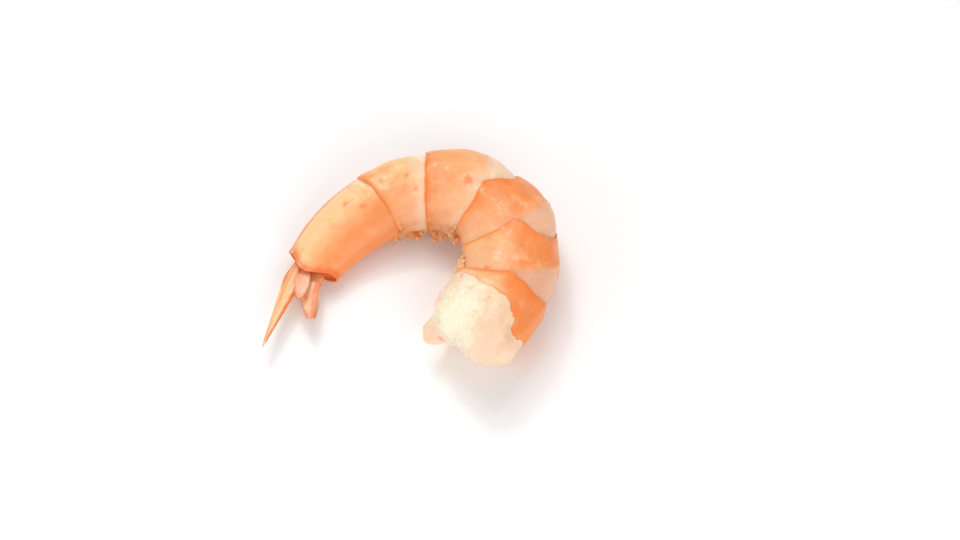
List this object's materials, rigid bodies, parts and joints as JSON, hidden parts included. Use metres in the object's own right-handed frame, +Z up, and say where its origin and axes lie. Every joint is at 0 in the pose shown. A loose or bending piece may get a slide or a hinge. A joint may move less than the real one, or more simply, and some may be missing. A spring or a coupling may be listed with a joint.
{
  "type": "cooked peeled tiger prawn",
  "caption": "Cooked tiger prawn, peeled with its tail left on, curled and lying on its side; white cut end, banded orange flesh, shelled tail segment and tail fan.",
  "frame": {"origin": "on the surface the prawn lies on, below the middle of its box", "axes": "+X from the tail fan towards the cut end, +Y towards the outside of the curl, +Z up, which is the animal's right side"},
  "size_m": [0.063, 0.0536, 0.0183],
  "materials": {
    "peeled_flesh": "moist, firm cooked flesh, orange skin over white muscle",
    "tail_shell": "thin cooked shell, smooth and softly glossy",
    "tail_fan": "thin cooked shell blades, pale with orange edges"
  },
  "bodies": {
    "root": {"flesh": "peeled_flesh", "tail_shell": "tail_shell", "telson": "tail_fan", "uropod_right_base": "tail_fan", "uropod_right_outer": "tail_fan", "uropod_right_inner": "tail_fan", "uropod_left_base": "tail_fan", "uropod_left_outer": "tail_fan", "uropod_left_inner": "tail_fan"}
  },
  "joints": []
}
